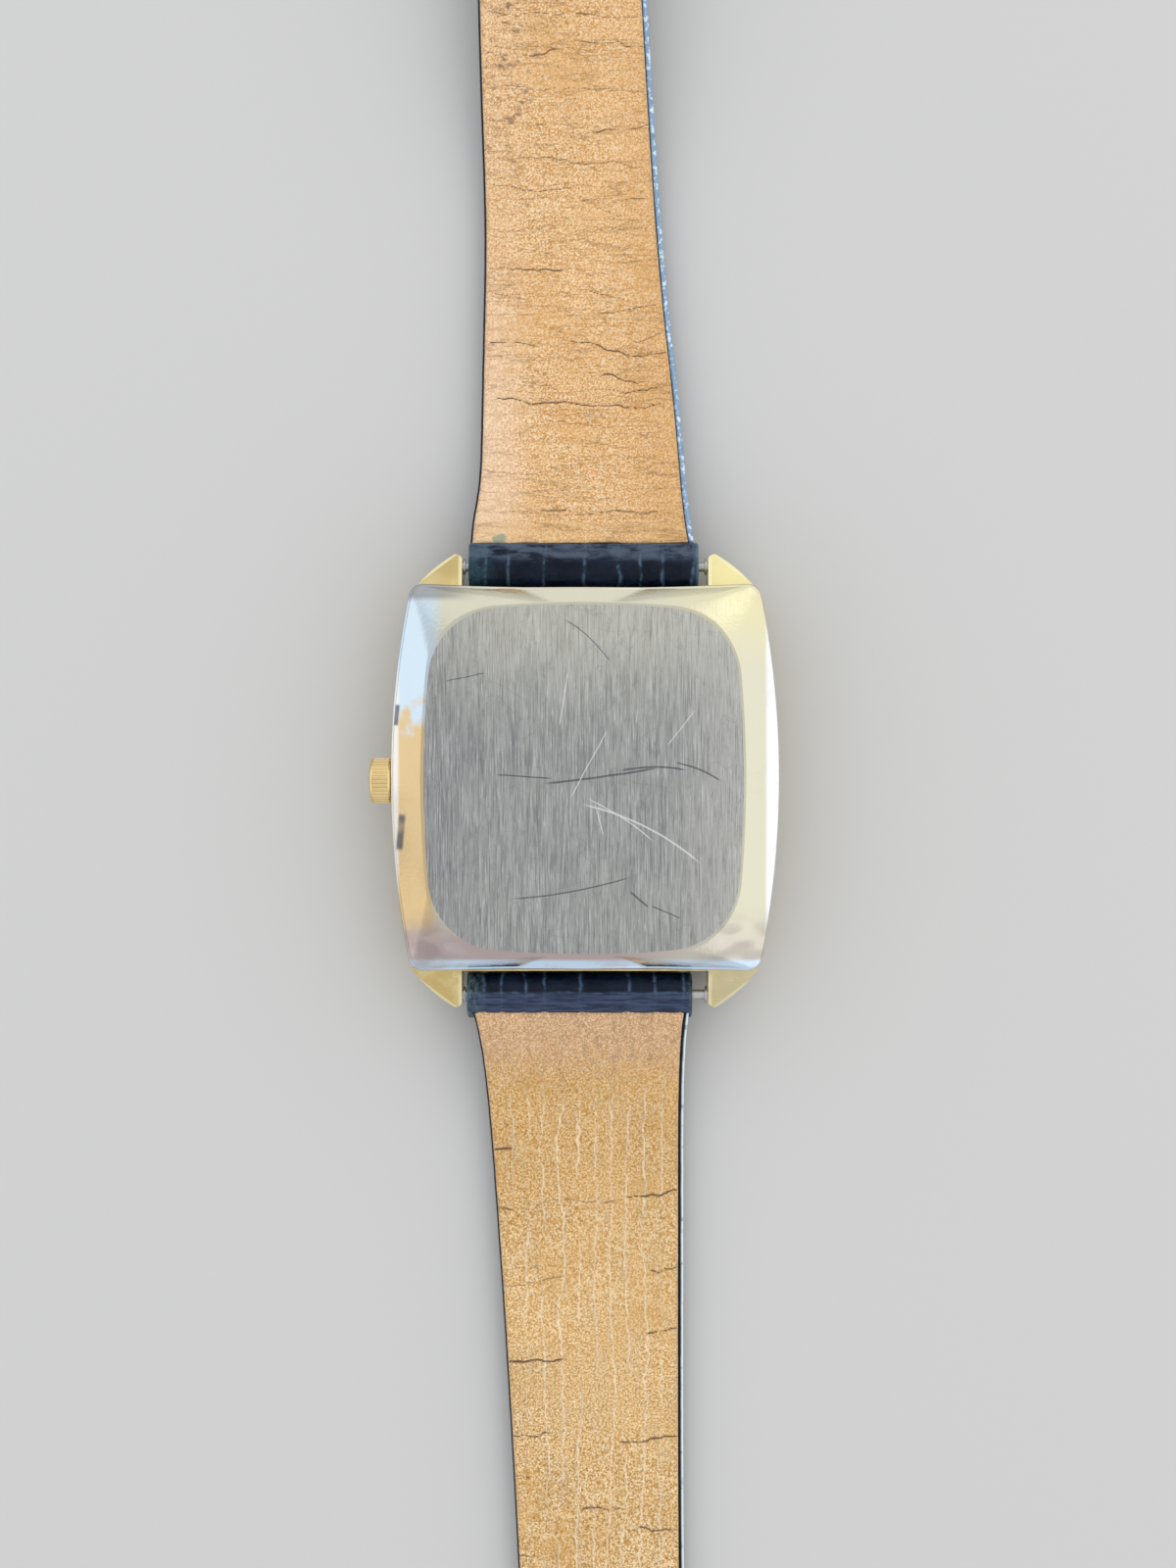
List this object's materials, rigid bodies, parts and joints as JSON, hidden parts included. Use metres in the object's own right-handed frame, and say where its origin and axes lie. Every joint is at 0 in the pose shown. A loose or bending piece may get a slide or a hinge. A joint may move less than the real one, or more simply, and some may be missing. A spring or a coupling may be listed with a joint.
{
  "type": "wristwatch",
  "caption": "Hand-wound gents' wristwatch, cushion-shaped gilt case with steel back, on a two-piece tapered leather strap with pin buckle, lying face down.",
  "frame": {"origin": "centre of the crystal's flat outer face", "axes": "+Z out of the case back, +Y along the 12 o'clock strap, -X towards the crown"},
  "size_m": [0.0351, 0.2342, 0.008],
  "materials": {
    "gold_plate": "polished gold plate with fine scratches",
    "steel_back": "polished border and brushed centre, scratched",
    "crystal": "polished mineral glass",
    "seal": "moulded nitrile",
    "crystal_seal": "moulded nylon",
    "dial": "sunburst champagne lacquer",
    "applied_gold": "diamond-cut gold",
    "nickel": "nickel plated, fine graining",
    "gear_brass": "circular-grained brass",
    "steel": "polished hardened steel",
    "spring_steel": "blued spring steel",
    "ruby": "polished synthetic ruby",
    "holder": "moulded holder ring",
    "lizard": "glazed navy lizard-grain leather",
    "lining": "worn tan calf lining, creased",
    "core": "bonded leather padding",
    "bar_steel": "turned stainless steel"
  },
  "bodies": {
    "case": {"case_body": "gold_plate", "case_back": "steel_back", "case_back_gasket": "seal", "crystal": "crystal", "crystal_gasket": "crystal_seal", "dial": "dial", "hour_markers": "applied_gold", "crown_tube": "bar_steel", "movement_screws": "steel", "jewels": "ruby", "main_plate": "nickel", "barrel_bridge": "nickel", "train_bridge": "nickel", "balance_cock": "nickel", "pallet_bridge": "nickel", "click_spring": "spring_steel", "movement_holder": "holder", "case_clamps": "steel"},
    "crown_carriage": {"crown_gasket": "seal"},
    "crown_and_stem": {"crown": "gold_plate", "stem": "steel"},
    "winding_pinion": {"winding_pinion": "steel"},
    "sliding_pinion": {"sliding_pinion": "steel"},
    "setting_lever": {"setting_lever": "steel"},
    "yoke": {"yoke": "steel"},
    "crown_wheel": {"crown_wheel": "nickel"},
    "ratchet": {"ratchet_wheel": "nickel", "barrel_arbor": "steel"},
    "click": {"click": "steel"},
    "barrel": {"barrel_drum": "gear_brass", "mainspring": "spring_steel"},
    "centre_wheel": {"centre_wheel": "gear_brass"},
    "third_wheel": {"third_wheel": "gear_brass"},
    "fourth_wheel": {"fourth_wheel": "gear_brass"},
    "escape_wheel": {"escape_wheel": "steel"},
    "pallet_fork": {"pallet_fork": "steel"},
    "balance": {"balance_wheel": "gear_brass", "hairspring": "spring_steel"},
    "cannon_pinion": {"cannon_pinion": "steel", "minute_hand": "applied_gold"},
    "minute_wheel": {"minute_wheel": "gear_brass"},
    "hour_wheel": {"hour_wheel": "gear_brass", "hour_hand": "applied_gold"},
    "strap_12": {"strap_12_outer": "lizard", "strap_12_core": "core", "strap_12_lining": "lining", "fixed_keeper": "lizard"},
    "floating_keeper": {"floating_keeper": "lizard"},
    "buckle": {"buckle_frame": "gold_plate", "buckle_bar": "bar_steel"},
    "buckle_tongue": {"buckle_tongue": "gold_plate"},
    "strap_6": {"strap_6_outer": "lizard", "strap_6_core": "core", "strap_6_lining": "lining"},
    "bar_12": {"spring_bar_12_tube": "bar_steel"},
    "bar_6": {"spring_bar_6_tube": "bar_steel"},
    "bar_12_tip_left": {"spring_bar_12_tip_left": "bar_steel"},
    "bar_12_tip_right": {"spring_bar_12_tip_right": "bar_steel"},
    "bar_6_tip_left": {"spring_bar_6_tip_left": "bar_steel"},
    "bar_6_tip_right": {"spring_bar_6_tip_right": "bar_steel"}
  },
  "joints": [
    {"name": "strap_12_swing", "type": "hinge", "parent": "case", "child": "strap_12", "pos_m": [0, 0.0185, 0.0045], "axis": [1, 0, 0], "range_deg": [-30, 90]},
    {"name": "strap_6_swing", "type": "hinge", "parent": "case", "child": "strap_6", "pos_m": [0, -0.0185, 0.0045], "axis": [-1, 0, 0], "range_deg": [-30, 90]},
    {"name": "buckle_swing", "type": "hinge", "parent": "strap_12", "child": "buckle", "pos_m": [-0.00296, 0.0925, 0.0043], "axis": [1, 0, 0], "range_deg": [-40, 80]},
    {"name": "tongue_swing", "type": "hinge", "parent": "buckle", "child": "buckle_tongue", "pos_m": [-0.00296, 0.0925, 0.0043], "axis": [1, 0, 0], "range_deg": [-62, 0]},
    {"name": "floating_keeper_slide", "type": "slide", "parent": "strap_12", "child": "floating_keeper", "axis": [0, 1, 0], "range_m": [-0.003, 0.0045]},
    {"name": "crown_pull", "type": "slide", "parent": "case", "child": "crown_carriage", "axis": [-1, 0, 0], "range_m": [0, 0.0008]},
    {"name": "crown_turn", "type": "hinge", "parent": "crown_carriage", "child": "crown_and_stem", "pos_m": [-0.017, 0, 0.0051], "axis": [1, 0, 0], "continuous": true},
    {"name": "winding_pinion_turn", "type": "hinge", "parent": "case", "child": "winding_pinion", "pos_m": [-0.0096, 0, 0.0051], "axis": [1, 0, 0], "continuous": true},
    {"name": "sliding_pinion_turn", "type": "hinge", "parent": "case", "child": "sliding_pinion", "pos_m": [-0.0085, 0, 0.0051], "axis": [1, 0, 0], "continuous": true},
    {"name": "crown_wheel_turn", "type": "hinge", "parent": "case", "child": "crown_wheel", "pos_m": [-0.0065, 0, 0.0065], "axis": [0, 0, 1], "continuous": true},
    {"name": "ratchet_turn", "type": "hinge", "parent": "case", "child": "ratchet", "pos_m": [-0.00261, 0.00559, 0.0065], "axis": [0, 0, 1], "continuous": true},
    {"name": "click_swing", "type": "hinge", "parent": "case", "child": "click", "pos_m": [-0.0089, 0.0062, 0.0065], "axis": [0, 0, 1], "range_deg": [-4, 12]},
    {"name": "setting_lever_swing", "type": "hinge", "parent": "case", "child": "setting_lever", "pos_m": [-0.0113, 0.003, 0.005], "axis": [0, 0, 1], "range_deg": [-16, 0]},
    {"name": "yoke_swing", "type": "hinge", "parent": "case", "child": "yoke", "pos_m": [-0.0083, -0.0052, 0.005], "axis": [0, 0, 1], "range_deg": [-1.3, 0]},
    {"name": "barrel_turn", "type": "hinge", "parent": "case", "child": "barrel", "pos_m": [-0.00261, 0.00559, 0.005], "axis": [0, 0, 1], "continuous": true},
    {"name": "third_wheel_turn", "type": "hinge", "parent": "case", "child": "third_wheel", "pos_m": [0.00448, -0.00039, 0.005], "axis": [0, 0, 1], "continuous": true},
    {"name": "centre_wheel_turn", "type": "hinge", "parent": "case", "child": "centre_wheel", "pos_m": [0, 0, 0.005], "axis": [0, 0, 1], "continuous": true},
    {"name": "fourth_wheel_turn", "type": "hinge", "parent": "case", "child": "fourth_wheel", "pos_m": [0.00694, 0.00254, 0.005], "axis": [0, 0, 1], "continuous": true},
    {"name": "escape_wheel_turn", "type": "hinge", "parent": "case", "child": "escape_wheel", "pos_m": [0.00823, -0.0005, 0.005], "axis": [0, 0, 1], "continuous": true},
    {"name": "pallet_rock", "type": "hinge", "parent": "case", "child": "pallet_fork", "pos_m": [0.0071, -0.00279, 0.0053], "axis": [0, 0, 1], "range_deg": [-5, 5]},
    {"name": "balance_swing", "type": "hinge", "parent": "case", "child": "balance", "pos_m": [0.00565, -0.00573, 0.0057], "axis": [0, 0, 1], "range_deg": [-270, 270]},
    {"name": "minute_hand_turn", "type": "hinge", "parent": "centre_wheel", "child": "cannon_pinion", "pos_m": [0, 0, 0.003], "axis": [0, 0, 1], "continuous": true},
    {"name": "minute_wheel_turn", "type": "hinge", "parent": "case", "child": "minute_wheel", "pos_m": [-0.00205, -0.00125, 0.0038], "axis": [0, 0, 1], "continuous": true},
    {"name": "hour_hand_turn", "type": "hinge", "parent": "case", "child": "hour_wheel", "pos_m": [0, 0, 0.003], "axis": [0, 0, 1], "continuous": true},
    {"name": "spring_bar_12_spin", "type": "hinge", "parent": "case", "child": "bar_12", "pos_m": [0, 0.0185, 0.0045], "axis": [1, 0, 0], "continuous": true},
    {"name": "spring_bar_12_left_press", "type": "slide", "parent": "bar_12", "child": "bar_12_tip_left", "axis": [1, 0, 0], "range_m": [0, 0.0011], "stiffness_N_per_m": 1500, "springref_m": -0.001},
    {"name": "spring_bar_12_right_press", "type": "slide", "parent": "bar_12", "child": "bar_12_tip_right", "axis": [-1, 0, 0], "range_m": [0, 0.0011], "stiffness_N_per_m": 1500, "springref_m": -0.001},
    {"name": "spring_bar_6_spin", "type": "hinge", "parent": "case", "child": "bar_6", "pos_m": [0, -0.0185, 0.0045], "axis": [1, 0, 0], "continuous": true},
    {"name": "spring_bar_6_left_press", "type": "slide", "parent": "bar_6", "child": "bar_6_tip_left", "axis": [1, 0, 0], "range_m": [0, 0.0011], "stiffness_N_per_m": 1500, "springref_m": -0.001},
    {"name": "spring_bar_6_right_press", "type": "slide", "parent": "bar_6", "child": "bar_6_tip_right", "axis": [-1, 0, 0], "range_m": [0, 0.0011], "stiffness_N_per_m": 1500, "springref_m": -0.001}
  ],
  "couplings": [
    {"joint": "winding_pinion_turn", "follows": "crown_turn", "ratio": 1},
    {"joint": "sliding_pinion_turn", "follows": "crown_turn", "ratio": 1},
    {"joint": "crown_wheel_turn", "follows": "crown_turn", "ratio": 0.58333},
    {"joint": "ratchet_turn", "follows": "crown_turn", "ratio": -0.36842},
    {"joint": "setting_lever_swing", "follows": "crown_pull", "rad_per_m": -338.16},
    {"joint": "yoke_swing", "follows": "crown_pull", "rad_per_m": -26.18},
    {"joint": "centre_wheel_turn", "follows": "fourth_wheel_turn", "ratio": 0.016667},
    {"joint": "third_wheel_turn", "follows": "fourth_wheel_turn", "ratio": -0.13333},
    {"joint": "escape_wheel_turn", "follows": "fourth_wheel_turn", "ratio": -10},
    {"joint": "barrel_turn", "follows": "fourth_wheel_turn", "ratio": -0.0025641},
    {"joint": "minute_wheel_turn", "follows": "minute_hand_turn", "ratio": -0.33333},
    {"joint": "hour_hand_turn", "follows": "minute_hand_turn", "ratio": 0.083333}
  ]
}
